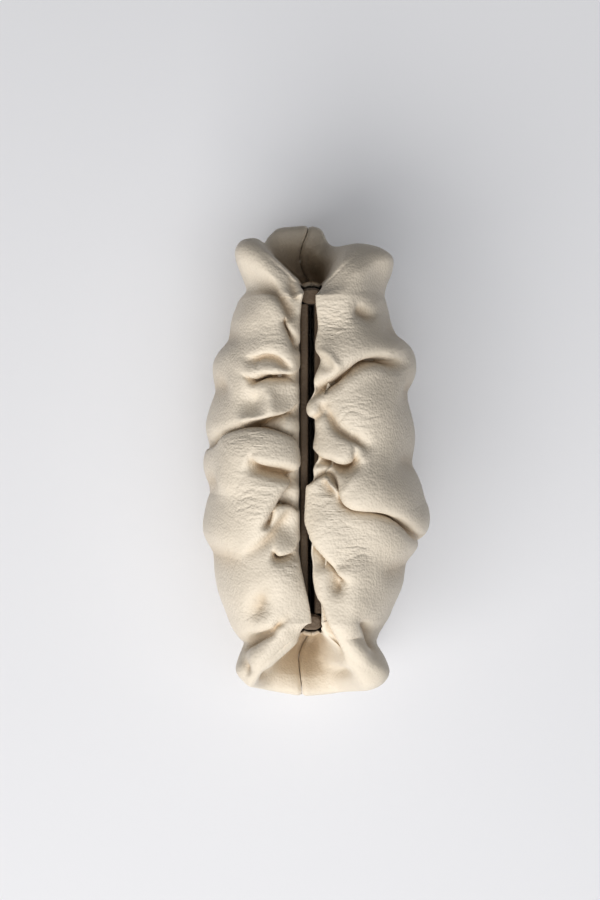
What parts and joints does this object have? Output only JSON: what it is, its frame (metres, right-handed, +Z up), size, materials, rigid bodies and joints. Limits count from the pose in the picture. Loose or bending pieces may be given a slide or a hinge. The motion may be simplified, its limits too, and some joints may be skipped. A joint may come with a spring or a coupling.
{
  "type": "cloud pouch bag",
  "caption": "Small soft leather clutch gathered onto a sprung frame that stands shut on its flat base, with puffed lips along the mouth and folded ears at its ends.",
  "frame": {"origin": "under the middle of the bag's box, on the surface that it stands on", "axes": "+X along the mouth towards the right hinge, +Y towards the back panel, +Z up out of the mouth"},
  "size_m": [0.2526, 0.1202, 0.1161],
  "materials": {
    "leather": "soft pebbled cream cowhide with a low sheen",
    "frame_wrap": "smooth brown leather wrapped over a spring-steel bar"
  },
  "bodies": {
    "root": {"front_panel": "leather", "back_panel": "leather", "frame_bar_front": "frame_wrap", "frame_bar_back": "frame_wrap", "hinge_left": "frame_wrap", "hinge_right": "frame_wrap"}
  },
  "joints": []
}
